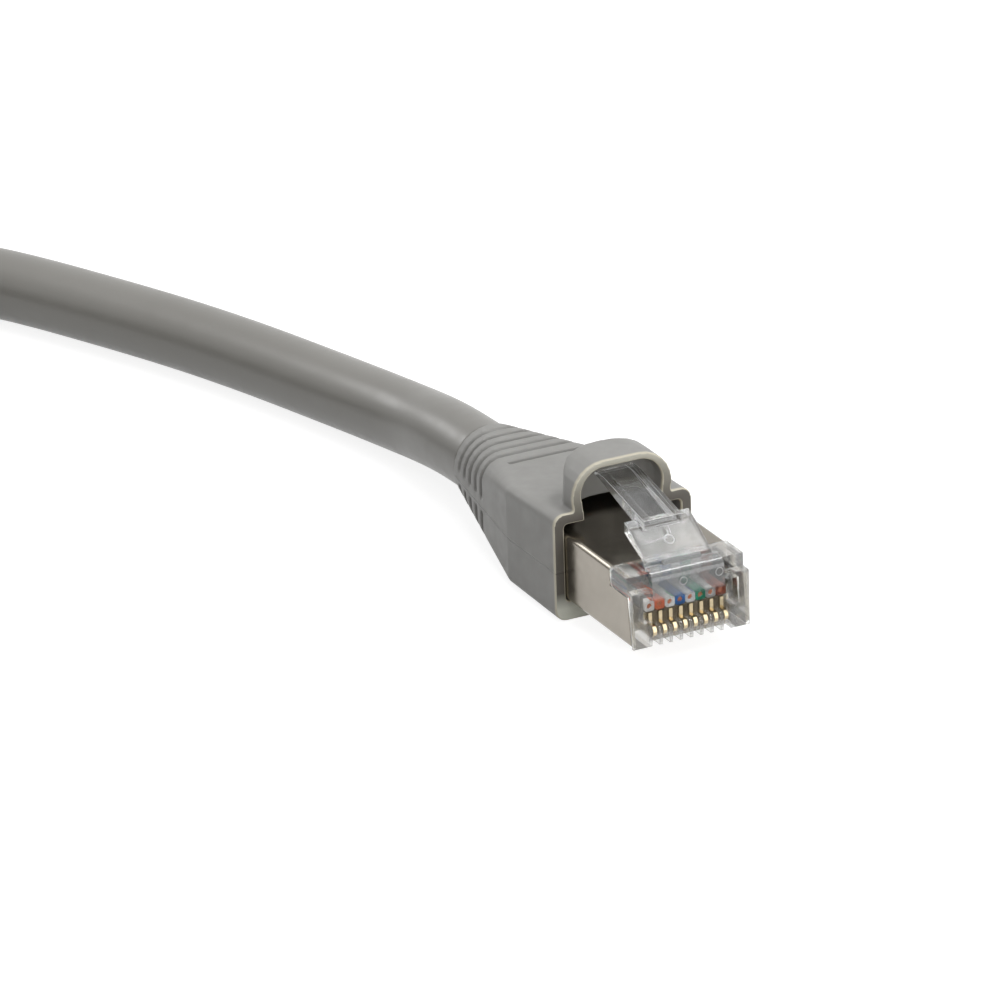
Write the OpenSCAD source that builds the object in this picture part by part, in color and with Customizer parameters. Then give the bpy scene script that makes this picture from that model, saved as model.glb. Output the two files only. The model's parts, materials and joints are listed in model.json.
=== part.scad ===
// Ethernet patch cable
// Two shielded eight-contact plugs with moulded boots are joined by one round
// jacketed cable, which lies in a loose coil held by a strap. The origin lies
// under the middle of the near plug. +X is the way that plug goes into its
// socket and +Z is up. Lengths are in millimetres and angles in degrees.

/* [Plug] */
// Length of the clear body from nose to tail
body_len = 21.5; // [21:0.1:21.6]
// Width across the clear nose
nose_w = 11.6; // [11.4:0.1:11.6]
// Height from the contact side to the latch side
plug_h = 6.5; // [6.4:0.1:6.6]
// Distance between neighbouring contacts
contact_pitch = 1.016; // [1.01:0.002:1.02]

/* [Latch] */
// Width of the locking plate
latch_w = 6.4; // [5.8:0.1:6.6]
// Width of the finger tab
tab_w = 3.8; // [3:0.1:4]
// Angle by which the latch is pressed down
latch_press = 0; // [0:1:16]

/* [Shield] */
// Outer width of the folded shell
shield_w = 11.68; // [11.66:0.01:11.7]
// Thickness of the folded sheet
sheet = 0.3; // [0.2:0.05:0.3]

/* [Boot] */
// Width of the boot at its rim
boot_w = 13.8; // [13.6:0.1:14.4]
// Length from the plug's nose to the boot's rear face
boot_end = 38.1; // [37.5:0.1:39]
// Width of the hood over the finger tab
hood_w = 10; // [9.9:0.1:10.4]
// Number of long grooves round the neck
groove_count = 5; // [1:1:5]
// Distance between neighbouring grooves
groove_pitch = 1.655; // [1.5:0.005:1.655]
// Width of a groove
groove_w = 0.6; // [0.4:0.1:0.8]
// Depth of a groove
groove_depth = 0.45; // [0.2:0.05:0.45]

/* [Cable] */
// Outer diameter of the jacket
cable_d = 6.9; // [6.5:0.1:6.9]
// Radius of the coil's outer loop
coil_r = 42; // [42:1:46]
// Width that the coil's spiral gains in one turn
coil_pitch = 7.4; // [7.4:0.1:8]
// Width of the strap round the coil
strap_w = 8; // [6:1:10]

/* [Hidden] */
// Node to draw, or all of them
// Sides of a full circle
$fn = 48;
// Sides of a circle inside a hull
hull_fn = 24;
// Sides of the small rods inside the plug
small_fn = 12;
// Length by which a cut passes the surface it opens
over = 1;
// Thickness of the thin sections that a hull joins
leaf = 0.1;
// Gap on each side between pieces that are fitted into one another
fit = 0.05;

// Clear body, in the plug's frame: nose face at x = 0, contact side at z = 0.
// Height of the flat front of the nose
nose_top = 5.25;
// Distance by which the shoulders above it stand back
shoulder_back = 1.05;
// Depth of the recess in which the wire ends show
recess = 1.1;
// Width of that recess
recess_w = 9.5;
// Lower and upper edge of that recess
recess_z = [2.3, 4.75];
// Front edge of the shield's top plate, its side step and its lower side edge
top_edge_x = -4.25;
side_step = [-0.95, 4.7];
side_foot = [-0.4, 0.6];
// Front edge of the shield's bottom plate
bottom_edge_x = -8.5;
// Size of the body inside the shield
core_w = shield_w - 2 * sheet - 2 * fit;
core_z = [sheet + fit, plug_h - sheet - fit];
// Contact slots and the comb teeth between them
slot_w = 0.666;
slot_len = 7;
comb_w = 7.78;
comb_top = 1.7;
comb_r = 0.5;
// Tail cavity that takes the load bar
tail_w = 9.3;
tail_z = [1.15, 5.65];
tail_x = -7.95;

// Wires: eight insulated cores side by side, then in two rows in the neck
wire_d = 0.96;
wire_z = 3.35;
core_d = 0.52;
core_end = -8;
core_sides = 8;
wire_sides = 6;
channel_w = 8 * contact_pitch + fit;
channel_z = [wire_z - wire_d / 2 - fit, wire_z + wire_d / 2 + fit];
fan_x = [-14.2, -16, -20.5];
row_step = 0.55;
lane_pitch = 1.12;

// Load bar
bar_x = [-14, -8];
bar_w = tail_w - 2 * fit;
bar_z = [tail_z[0] + fit, tail_z[1] - fit];

// Contact blades: a rounded bead in front and two teeth that pierce a wire
blade_t = 0.35;
blade_x = [0.2 - slot_len, -1];
blade_z = [0.7, 2.75];
bead_r = 0.52;
bead_x = -0.62;
tooth_x = [0.8 - slot_len, 4.4 - slot_len];
tooth_half = 0.25;
tooth_top = 3.3;

// Latch base and hinge, as x and z in the plug's frame
hinge = [-2.3, 6.6];
pin_r = 0.45;
pin_gap = 0.05;
base_w = 7.2;
base_front = -0.35;
base_foot = 4;
base_round = [-1.55, 5.6];
base_r = 1.2;
base_seat = 6.2;
ridge = [[-1.25, 6.6], [-1.6, 7.1], [-1.95, 7.1], [-2.1, 6.6]];

// Latch outlines, as x and z in the plug's frame, pressed 0 degrees
plate_outline = [[-2.45, 6.42], [-3.23, 7.06], [-4.92, 7.75], [-6.28, 8.38],
    [-6.28, 9.4], [-5, 8.8], [-3.63, 7.9], [-2.15, 7.02]];
tab_under = [[-5, 8.3], [-7.42, 8.95], [-11.84, 10.19], [-13.6, 10.68], [-14.3, 10.8]];
rail_top = [[-14.3, 11.15], [-12.75, 11.15], [-5, 9.65]];
tray_top = [[-14.3, 11.15], [-13, 11.1], [-11.84, 10.79], [-7.42, 9.55], [-5, 8.95]];
rail_w = 0.8;
cross_t = 0.6;

// Shield shell and crimp collar
fold_r = 0.5;
shell_end = -20.5;
collar_x = [-26.8, -23];
collar_slot = 1;
tongue_w = 2;
tongue_t = 0.2;
tongue_x = -21.9;

// Boot, in the plug's frame. The cable pulls its neck a little to one side.
neck_y = -0.62;
axis_z = 3.25;
jacket_r = cable_d / 2;
neck_r = jacket_r + 0.38;
rim_x = -12.75;
box_x = -22.3;
boot_low = -1.9;
boot_high = 8.33;
boot_sections = [
    [rim_x - leaf, 0, boot_w, boot_low, boot_high, 1],
    [box_x, 0, boot_w, -1.63, 7.8, 0.7],
    [-boot_end, neck_y, 2 * neck_r, axis_z - neck_r, axis_z + neck_r, neck_r],
];
cavity_w = 11.8;
cavity_z = [-0.1, 7.35];
cavity_end = -21.7;
cavity_r = 0.4;
pocket_x = [-27.2, shell_end + 2 * fit];
first_groove_x = -29.85;
short_groove_x = -27.7;
short_groove_w = 7.8;
web_z = [2.5, 3.7];
hood_top = 12.62;
hood_r = 3.2;
hood_wall = 0.9;
hood_roof = 0.6;
hood_base = 7.6;
hood_waist = 0.4;
// Rear of the hood at its foot and at its crown, and its corners from above
hood_back = [-18.4, -17.9];
hood_corner = 4.7;
hood_round = 0.6;

// Jacket end, folded braid and foil, all round the neck's axis
jacket_in = jacket_r - 0.7;
jacket_x = -22.55;
braid_in = jacket_r + fit;
braid_r = jacket_r + 0.25;
braid_x = [-27.1, jacket_x];
collar_in = braid_r + fit;
collar_r = collar_in + sheet;
pocket_r = collar_r + fit;
foil_r = jacket_in - fit;
foil_in = foil_r - 0.25;
foil_x = -body_len - 2 * fit;

// Place of the plugs in the object's frame
nose_x = boot_end / 2;
lift = -boot_low;
rear = [-nose_x, neck_y, axis_z + lift];

// Cable route: hand-placed points, then a flat spiral that runs in on the
// floor, climbs one layer in the half turn where it reverses, and runs out
tube_sides = 12;
coil_sides = 6;
coil_rings = 24;
turns = 3.25;
stub = 7;
layer = cable_d + 0.5;
coil_in = [-104, -81.7];
coil_mid = coil_in + [coil_r, 0];
coil_out = coil_mid - [0, coil_r];
upper = jacket_r + layer;
far_y = coil_out[1] + 0.7;
far_rear = rear + [0, far_y, 0];
run_route = [
    rear, [-27, -0.7, 4.8], [-36, -1.1, 3.8], [-50, -4.4, 3.45], [-64, -8.8, 3.45],
    [-77, -14.1, 3.45], [-88.5, -19.6, 3.45], [-95.3, -24.7, 3.45], [-100, -30.8, 3.45],
    [-103, -38, 3.45], [-104, -45.6, 3.45], [-104, -60, 3.45],
    [coil_in[0], coil_in[1] + stub, jacket_r]
];
tail_route = [
    [coil_out[0] + stub, coil_out[1], upper],
    [coil_out[0] + 16, coil_out[1], upper - 0.9],
    [coil_out[0] + 26, coil_out[1] - 0.1, 7.8],
    [coil_out[0] + 36, coil_out[1] - 0.5, 5.7],
    far_rear
];

// Strap round the coil, at the coil's +X side
strap_t = 1;
strap_gap = 0.6;
strap_r = 3;
strap_lift = strap_t + 0.1;
strand_low = coil_r - coil_pitch * 0.5;
strand_in = coil_r - coil_pitch * 1.5;
strap_x = [coil_mid[0] + strand_in - jacket_r, coil_mid[0] + strand_low + jacket_r];
strap_top = upper + jacket_r + strap_lift + 0.3;

// Colours
clear_plastic = [0.86, 0.88, 0.86, 0.45];
nickel = [0.64, 0.61, 0.57];
gold = [0.83, 0.65, 0.33];
copper = [0.72, 0.42, 0.27];
boot_grey = [0.55, 0.54, 0.53];
jacket_grey = [0.52, 0.52, 0.51];
foil_silver = [0.78, 0.78, 0.79];
strap_black = [0.1, 0.1, 0.1];
wire_colours = [
    [0.93, 0.8, 0.66], [0.9, 0.45, 0.12], [0.78, 0.88, 0.78], [0.14, 0.3, 0.62],
    [0.75, 0.82, 0.9], [0.12, 0.5, 0.25], [0.85, 0.78, 0.7], [0.42, 0.26, 0.16],
];

// Helpers

// Extrudes a y-z outline from x0 to x1
module along_x(x0, x1) {
    translate([x0, 0, 0]) rotate([90, 0, 90]) linear_extrude(x1 - x0) children();
}

// Extrudes an x-z outline over the width w, centred on y = 0
module across(w) {
    translate([0, w / 2, 0]) rotate([90, 0, 0]) linear_extrude(w) children();
}

// Block of width w, centred on y = 0
module block(x0, x1, w, z0, z1) {
    translate([x0, -w / 2, z0]) cube([x1 - x0, w, z1 - z0]);
}

// Rod of radius r along x, through the point y, z
module rod(x0, x1, y, z, r) {
    translate([x0, y, z]) rotate([0, 90, 0]) cylinder(r = r, h = x1 - x0);
}

// Rod on the neck's axis
module neck_rod(x0, x1, r) {
    rod(x0, x1, neck_y, axis_z, r);
}

// Rectangle of width w from z0 to z1 with rounded corners
module rounded_rect(w, z0, z1, r) {
    translate([r - w / 2, z0]) square([w - 2 * r, z1 - z0]);
    translate([-w / 2, z0 + r]) square([w, z1 - z0 - 2 * r]);
    for (y = [r - w / 2, w / 2 - r], z = [z0 + r, z1 - r]) translate([y, z]) circle(r);
}

// Outline with a round top, drawn in by a waist at its flat base
module arch(half, top, r, base, waist) {
    hull() {
        for (y = [r - half, half - r]) translate([y, top - r]) circle(r);
        translate([waist - half, base]) square([2 * (half - waist), leaf]);
    }
}

function unit(v) = v / norm(v);

// Direction of a route at point i, square to what it meets at either end
function heading(p, i, first, last) =
    i == 0 ? first : i == len(p) - 1 ? last : unit(p[i + 1] - p[i - 1]);

// Point between p[i] and p[i + 1] on a smooth curve, held above the floor
function curve_point(p, i, t) =
    let(
        a = p[max(i - 1, 0)],
        b = p[i],
        c = p[i + 1],
        d = p[min(i + 2, len(p) - 1)],
        q = 2 * b + (c - a) * t + (2 * a - 5 * b + 4 * c - d) * t * t
            + (3 * b - a - 3 * c + d) * t * t * t
    ) [q[0] / 2, q[1] / 2, max(q[2] / 2, jacket_r)];

function smooth_route(p, steps) =
    [for (i = [0 : len(p) - 2], k = [0 : steps - 1]) curve_point(p, i, k / steps), p[len(p) - 1]];

// One ring of points round a route point, square to the direction dir
function ring(centre, dir, r, sides) =
    let(side = unit(cross([0, 0, 1], dir)), up = cross(dir, side))
    [for (s = [0 : sides - 1]) centre + r * (cos(90 + 360 * s / sides) * side
        + sin(90 + 360 * s / sides) * up)];

// Solid tube along a route
module tube(p, r, sides, first, last) {
    rings = len(p);
    points = [for (i = [0 : rings - 1]) each ring(p[i], heading(p, i, first, last), r, sides)];
    walls = [
        for (i = [0 : rings - 2], s = [0 : sides - 1])
            let(a = i * sides + s, b = i * sides + (s + 1) % sides)
            each [[a, b, a + sides], [b, b + sides, a + sides]]
    ];
    start_cap = [for (s = [sides - 1 : -1 : 0]) s];
    end_cap = [for (s = [0 : sides - 1]) (rings - 1) * sides + s];
    polyhedron(points, concat([start_cap], walls, [end_cap]));
}

function contact_y(n) = (n - 3.5) * contact_pitch;

// True for the four wires that run in the neck's upper row
function in_upper_row(n) = (n < 4) == (n % 2 == 0);

// Pieces of one plug, in the plug's frame

// Outline of the nose in front of and above the shield
module nose_outline() {
    polygon([
        [0, 0], [0, nose_top], [-shoulder_back, nose_top], [-shoulder_back, plug_h],
        [top_edge_x + fit, plug_h], [top_edge_x + fit, side_step[1] + fit],
        [side_step[0] + fit, side_step[1] + fit], [side_foot[0] + fit, side_foot[1]],
        [side_foot[0] + fit, 0]
    ]);
}

// Outline of the body between the shield's side plates
module core_outline() {
    polygon([
        [bottom_edge_x + fit, 0], [0, 0], [0, nose_top], [-shoulder_back, nose_top],
        [-shoulder_back, core_z[1]], [bottom_edge_x + fit, core_z[1]]
    ]);
}

// Round-fronted tooth between two contact slots
module comb_tooth() {
    across(contact_pitch - slot_w) {
        translate([-recess - fit, 0]) square([recess + fit, comb_top - comb_r]);
        translate([-recess - fit, 0]) square([recess + fit - comb_r, comb_top]);
        translate([-comb_r, comb_top - comb_r]) circle(comb_r);
    }
}

// Raised block that carries the latch's hinge
module latch_base() {
    across(base_w) {
        translate(base_round) circle(base_r);
        polygon([
            [base_front, base_foot], [base_front, base_round[1]],
            [base_round[0], base_round[1] + base_r], [hinge[0], base_round[1] + base_r],
            [hinge[0], base_seat], [top_edge_x + fit, base_seat], [top_edge_x + fit, base_foot]
        ]);
    }
    across(tab_w) polygon(ridge);
}

module housing_shell() {
    difference() {
        union() {
            block(-body_len, bottom_edge_x + 2 * fit, core_w, core_z[0], core_z[1]);
            across(core_w) core_outline();
            across(nose_w) nose_outline();
        }
        block(-recess, over, recess_w, recess_z[0], recess_z[1]);
        block(base_front, over, base_w, recess_z[0], nose_top + over);
        block(-recess, over, comb_w, -over, recess_z[0] + fit);
        for (n = [0 : 7]) translate([0, contact_y(n), 0])
            block(-slot_len, over, slot_w, -over, wire_z);
        block(tail_x - over, over, channel_w, channel_z[0], channel_z[1]);
        block(-body_len - over, tail_x, tail_w, tail_z[0], tail_z[1]);
        block(top_edge_x - over, hinge[0], base_w, base_seat, plug_h + over);
    }
}

module plug_housing() {
    color(clear_plastic) difference() {
        union() {
            housing_shell();
            latch_base();
            for (n = [0 : 6]) translate([0, (n - 3) * contact_pitch, 0]) comb_tooth();
        }
        across(base_w) translate(hinge) circle(pin_r + pin_gap);
    }
}

module latch() {
    pivot = [hinge[0], 0, hinge[1]];
    color(clear_plastic) translate(pivot) rotate([0, -latch_press, 0]) translate(-pivot) {
        across(latch_w) {
            translate(hinge) circle(pin_r);
            polygon(plate_outline);
        }
        across(tab_w) polygon(concat(tab_under, tray_top));
        across(tab_w) translate([tab_under[0][0] - cross_t, tab_under[0][1]])
            square([cross_t, rail_top[2][1] - tab_under[0][1]]);
        for (side = [-1, 1]) translate([0, side * (tab_w - rail_w) / 2, 0])
            across(rail_w) polygon(concat(tab_under, rail_top));
    }
}

// Strip that joins the bottom plate to the collar
module tongue() {
    high = axis_z - collar_in;
    translate([0, neck_y, 0]) across(tongue_w) polygon([
        [shell_end + over, 0], [shell_end + over, sheet], [shell_end, sheet], [tongue_x, high],
        [collar_x[1] - over, high], [collar_x[1] - over, high - tongue_t],
        [tongue_x, high - tongue_t], [shell_end, 0]
    ]);
}

module shield() {
    color(nickel) {
        difference() {
            along_x(shell_end, 0) rounded_rect(shield_w, 0, plug_h, fold_r);
            block(shell_end - over, over, shield_w - 2 * sheet, sheet, plug_h - sheet);
            block(top_edge_x, over, shield_w + over, side_step[1], plug_h + over);
            block(bottom_edge_x, over, shield_w - 2 * sheet, -over, sheet + fit);
            across(shield_w + over) polygon([
                side_step, side_foot, [side_foot[0], -over], [over, -over], [over, plug_h],
                [side_step[0], plug_h]
            ]);
        }
        difference() {
            neck_rod(collar_x[0], collar_x[1], collar_r);
            neck_rod(collar_x[0] - over, collar_x[1] + over, collar_in);
            translate([0, neck_y, 0])
                block(collar_x[0] - over, collar_x[1] + over, collar_slot, axis_z, plug_h + 2 * over);
        }
        tongue();
    }
}

module blade() {
    across(blade_t) {
        translate([bead_x, blade_z[0] + bead_r]) circle(bead_r, $fn = small_fn);
        translate([blade_x[0], blade_z[0]])
            square([bead_x - blade_x[0], 2 * bead_r]);
        translate([blade_x[0], blade_z[0]])
            square([blade_x[1] - blade_x[0], blade_z[1] - blade_z[0]]);
        for (x = tooth_x) polygon([
            [x - tooth_half, blade_z[1] - fit], [x, tooth_top], [x + tooth_half, blade_z[1] - fit]
        ]);
    }
}

module contacts() {
    color(gold) for (n = [0 : 7]) translate([0, contact_y(n), 0]) blade();
}

// Room round the blade's teeth in one wire
module tooth_room(n) {
    for (x = tooth_x) translate([0, contact_y(n), 0])
        block(x - tooth_half - fit, x + tooth_half + fit, blade_t + 2 * fit, 0, tooth_top + fit);
}

module load_bar() {
    color(clear_plastic) difference() {
        block(bar_x[0], bar_x[1], bar_w, bar_z[0], bar_z[1]);
        block(bar_x[0] - over, bar_x[1] + over, channel_w, channel_z[0], channel_z[1]);
    }
}

module wire(n) {
    row_z = axis_z + (in_upper_row(n) ? row_step : -row_step);
    lane_y = neck_y + (floor(n / 2) - 1.5) * lane_pitch;
    y = contact_y(n);
    route = [[-recess, y, wire_z], [fan_x[0], y, wire_z], [fan_x[1], y, row_z],
        [fan_x[2], lane_y, row_z], [-boot_end, lane_y, row_z]];
    color(wire_colours[n]) difference() {
        tube(route, wire_d / 2, wire_sides, [-1, 0, 0], [-1, 0, 0]);
        rod(core_end - fit, over, y, wire_z, core_d / 2 + fit, $fn = small_fn);
        tooth_room(n);
    }
}

module copper_cores() {
    color(copper) for (n = [0 : 7]) difference() {
        rod(core_end, -recess, contact_y(n), wire_z, core_d / 2, $fn = core_sides);
        tooth_room(n);
    }
}

// Outer form of the boot, or the same form set in by a distance
module boot_loft(inset) {
    hull() for (s = boot_sections, side = [-1, 1], z = [s[3] + s[5], s[4] - s[5]])
        translate([0, s[1] + side * (s[2] / 2 - s[5]), z]) along_x(s[0], s[0] + leaf)
            circle(s[5] - inset, $fn = hull_fn);
}

module long_grooves() {
    difference() {
        for (i = [0 : groove_count - 1]) {
            x = first_groove_x - i * groove_pitch;
            block(x - groove_w / 2, x + groove_w / 2, 2 * boot_w, boot_low, boot_high);
        }
        block(-boot_end, box_x, 2 * boot_w, web_z[0], web_z[1]);
    }
    block(short_groove_x - groove_w / 2, short_groove_x + groove_w / 2, short_groove_w,
        axis_z, boot_high);
}

// The hood from above at one height, set in by a distance all round
module hood_plan(back, z, inset) {
    half = hood_w / 2 - inset;
    r = hood_corner - inset;
    translate([0, 0, z]) linear_extrude(leaf) {
        for (y = [r - half, half - r]) translate([back + inset + r, y]) circle(r);
        translate([rim_x - leaf, -half]) square([leaf + over, 2 * half]);
    }
}

// Hood over the finger tab, or the hollow inside it, which opens in front
module hood(wall, top, front) {
    intersection() {
        along_x(hood_back[0], front)
            arch(hood_w / 2 - wall, top, hood_r - wall, hood_base - wall, hood_waist, $fn = hull_fn);
        hull() {
            hood_plan(hood_back[0], hood_base - wall, wall, $fn = hull_fn);
            hood_plan(hood_back[1], top - hood_round, wall, $fn = hull_fn);
            hood_plan(hood_back[1], top - leaf, wall + hood_round, $fn = hull_fn);
        }
    }
}

module boot() {
    color(boot_grey) difference() {
        union() {
            difference() {
                boot_loft(0);
                difference() {
                    long_grooves();
                    boot_loft(groove_depth);
                }
            }
            hood(0, hood_top, rim_x);
        }
        along_x(cavity_end, rim_x + over)
            rounded_rect(cavity_w, cavity_z[0], cavity_z[1], cavity_r);
        neck_rod(pocket_x[0], pocket_x[1], pocket_r);
        neck_rod(-boot_end - over, pocket_x[0] + over, jacket_r + fit);
        hood(hood_wall, hood_top - hood_roof, rim_x + over / 2);
    }
}

module jacket_end() {
    color(jacket_grey) difference() {
        neck_rod(-boot_end, jacket_x, jacket_r);
        neck_rod(-boot_end - over, jacket_x + over, jacket_in);
    }
}

module braid() {
    color(foil_silver) difference() {
        neck_rod(braid_x[0], braid_x[1], braid_r);
        neck_rod(braid_x[0] - over, braid_x[1] + over, braid_in);
    }
}

module foil_screen() {
    color(foil_silver) difference() {
        neck_rod(-boot_end, foil_x, foil_r, $fn = small_fn);
        neck_rod(-boot_end - over, foil_x + over, foil_in, $fn = small_fn);
    }
}

// Places of the two plugs
module at_near() {
    translate([nose_x, 0, lift]) children();
}

module at_far() {
    translate([nose_x, far_y, lift]) children();
}

// Cable and strap, in the object's frame

// Raises the coil where the strap runs under it
function strap_rise(angle) = strap_lift * pow(max(cos(angle), 0), 4);

function coil_point(t) =
    let(
        angle = 180 + 360 * t,
        r = coil_r - coil_pitch * min(t, turns - t),
        c = min(max((t - turns / 2) * 2 + 0.5, 0), 1),
        z = jacket_r + layer * c * c * (3 - 2 * c) + strap_rise(angle)
    ) [coil_mid[0] + r * cos(angle), coil_mid[1] + r * sin(angle), z];

coil_loops = [for (k = [0 : turns * coil_rings]) coil_point(k / coil_rings)];
coil_route = concat(
    [[coil_in[0], coil_in[1] + stub, jacket_r]],
    coil_loops,
    [[coil_out[0] + stub, coil_out[1], upper]]
);
run_curve = smooth_route(run_route, 2);
tail_curve = smooth_route(tail_route, 2);

module cable_run() {
    color(jacket_grey) tube(run_curve, jacket_r, tube_sides, [-1, 0, 0], [0, -1, 0]);
}

module cable_coil() {
    color(jacket_grey) tube(coil_route, jacket_r, coil_sides, [0, -1, 0], [1, 0, 0]);
}

module cable_tail() {
    color(jacket_grey) tube(tail_curve, jacket_r, tube_sides, [1, 0, 0], [1, 0, 0]);
}

module cable_tie() {
    span = strap_x[1] - strap_x[0] + 2 * strap_gap;
    color(strap_black) translate([(strap_x[0] + strap_x[1]) / 2, coil_mid[1], 0])
        rotate([0, 0, 90]) along_x(-strap_w / 2, strap_w / 2) difference() {
            rounded_rect(span + 2 * strap_t, 0, strap_top + strap_t, strap_r);
            rounded_rect(span, strap_t, strap_top, strap_r - strap_t);
        }
}

// Free length of the cable and the coil's least gap to itself
function route_len(p) = len(p) < 2 ? 0 : [for (i = [1 : len(p) - 1]) norm(p[i] - p[i - 1])]
    * [for (i = [1 : len(p) - 1]) 1];
gaps = [
    for (i = [0 : len(coil_loops) - 1], j = [i + 12 : 1 : len(coil_loops) - 1])
        norm(coil_loops[i] - coil_loops[j]) - cable_d
];
echo(free_length = route_len(run_curve) + route_len(coil_route) + route_len(tail_curve));
echo(coil_least_gap = min(gaps));

// One module for each node of the two plugs

module near_plug_housing() {
    at_near() plug_housing();
}

module near_latch() {
    at_near() latch();
}

module near_shield() {
    at_near() shield();
}

module near_contacts() {
    at_near() contacts();
}

module near_load_bar() {
    at_near() load_bar();
}

module near_wire_1_white_orange() {
    at_near() wire(0);
}

module near_wire_2_orange() {
    at_near() wire(1);
}

module near_wire_3_white_green() {
    at_near() wire(2);
}

module near_wire_4_blue() {
    at_near() wire(3);
}

module near_wire_5_white_blue() {
    at_near() wire(4);
}

module near_wire_6_green() {
    at_near() wire(5);
}

module near_wire_7_white_brown() {
    at_near() wire(6);
}

module near_wire_8_brown() {
    at_near() wire(7);
}

module near_copper_cores() {
    at_near() copper_cores();
}

module near_boot() {
    at_near() boot();
}

module near_jacket_end() {
    at_near() jacket_end();
}

module near_braid() {
    at_near() braid();
}

module near_foil_screen() {
    at_near() foil_screen();
}

module far_plug_housing() {
    at_far() plug_housing();
}

module far_latch() {
    at_far() latch();
}

module far_shield() {
    at_far() shield();
}

module far_contacts() {
    at_far() contacts();
}

module far_load_bar() {
    at_far() load_bar();
}

module far_wire_1_white_orange() {
    at_far() wire(0);
}

module far_wire_2_orange() {
    at_far() wire(1);
}

module far_wire_3_white_green() {
    at_far() wire(2);
}

module far_wire_4_blue() {
    at_far() wire(3);
}

module far_wire_5_white_blue() {
    at_far() wire(4);
}

module far_wire_6_green() {
    at_far() wire(5);
}

module far_wire_7_white_brown() {
    at_far() wire(6);
}

module far_wire_8_brown() {
    at_far() wire(7);
}

module far_copper_cores() {
    at_far() copper_cores();
}

module far_boot() {
    at_far() boot();
}

module far_jacket_end() {
    at_far() jacket_end();
}

module far_braid() {
    at_far() braid();
}

module far_foil_screen() {
    at_far() foil_screen();
}

// Nodes

near_plug_housing();
near_latch();
near_shield();
near_contacts();
near_load_bar();
near_wire_1_white_orange();
near_wire_2_orange();
near_wire_3_white_green();
near_wire_4_blue();
near_wire_5_white_blue();
near_wire_6_green();
near_wire_7_white_brown();
near_wire_8_brown();
near_copper_cores();
near_boot();
near_jacket_end();
near_braid();
near_foil_screen();
far_plug_housing();
far_latch();
far_shield();
far_contacts();
far_load_bar();
far_wire_1_white_orange();
far_wire_2_orange();
far_wire_3_white_green();
far_wire_4_blue();
far_wire_5_white_blue();
far_wire_6_green();
far_wire_7_white_brown();
far_wire_8_brown();
far_copper_cores();
far_boot();
far_jacket_end();
far_braid();
far_foil_screen();
cable_run();
cable_coil();
cable_tail();
cable_tie();
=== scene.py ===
import json
import math

import bmesh
import bpy
from mathutils import Matrix, Vector
from mathutils.bvhtree import BVHTree


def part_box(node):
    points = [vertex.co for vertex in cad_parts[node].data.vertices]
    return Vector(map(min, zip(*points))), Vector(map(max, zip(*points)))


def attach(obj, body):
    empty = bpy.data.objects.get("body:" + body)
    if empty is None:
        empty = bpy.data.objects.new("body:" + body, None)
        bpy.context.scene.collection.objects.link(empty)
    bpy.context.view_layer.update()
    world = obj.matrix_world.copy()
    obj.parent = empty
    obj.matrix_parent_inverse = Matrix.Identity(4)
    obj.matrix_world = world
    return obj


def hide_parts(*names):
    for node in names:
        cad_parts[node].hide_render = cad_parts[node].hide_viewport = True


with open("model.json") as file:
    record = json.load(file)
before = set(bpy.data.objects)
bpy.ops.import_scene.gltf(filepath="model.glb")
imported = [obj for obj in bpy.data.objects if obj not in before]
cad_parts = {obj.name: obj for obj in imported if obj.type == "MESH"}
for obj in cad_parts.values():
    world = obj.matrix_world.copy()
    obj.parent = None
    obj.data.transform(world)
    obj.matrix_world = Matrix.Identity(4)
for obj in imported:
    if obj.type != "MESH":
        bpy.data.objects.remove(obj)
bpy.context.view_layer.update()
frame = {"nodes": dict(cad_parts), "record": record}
nodes = frame["nodes"]
scene = bpy.context.scene

MM = 0.001

# Sizes shared with the part's source, in millimetres. A plug's own frame has its origin at
# the middle of its nose, on the contact side: the near plug's is moved by NOSE_X and LIFT.
BOOT_END = 38.1
NOSE_X = BOOT_END / 2
LIFT = 1.9
NECK_Y = -0.62
AXIS_Z = 3.25
CABLE_D = 6.9
CABLE_R = CABLE_D / 2
COIL_R = 42.0
COIL_PITCH = 7.4
TURNS = 3.25
STUB = 7.0
LAYER = CABLE_D + 0.5
COIL_IN = (-104, -81.7)
COIL_MID = (COIL_IN[0] + COIL_R, COIL_IN[1])
COIL_OUT = (COIL_MID[0], COIL_MID[1] - COIL_R)
UPPER = CABLE_R + LAYER
FAR_Y = COIL_OUT[1] + 0.7
STRAP_LIFT = 1.1
RECESS = 1.1
CONTACT_PITCH = 1.016
WIRES = 8
WIRE_D = 0.96
ROUND_X = -13.0
SQUARE_X = -10.0
WIRE_Z = 3.35
CORE_END = 8.0
FAN_X = (-14.2, -16.0, -20.5)
ROW_STEP = 0.55
LANE_PITCH = 1.12
REAR = (-NOSE_X, NECK_Y, AXIS_Z + LIFT)

# The photograph's camera, fitted to the plug's edges, with its place in the plug's frame
CAMERA_AZIMUTH, CAMERA_ELEVATION, CAMERA_ROLL = 25.973, 22.753, -1.907
CAMERA_PLACE = (569.673, -295.864, 282.834)
FOCAL_PIXELS = 7961.09
PICTURE_PIXELS = 1000
SENSOR_WIDTH = 36


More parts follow.
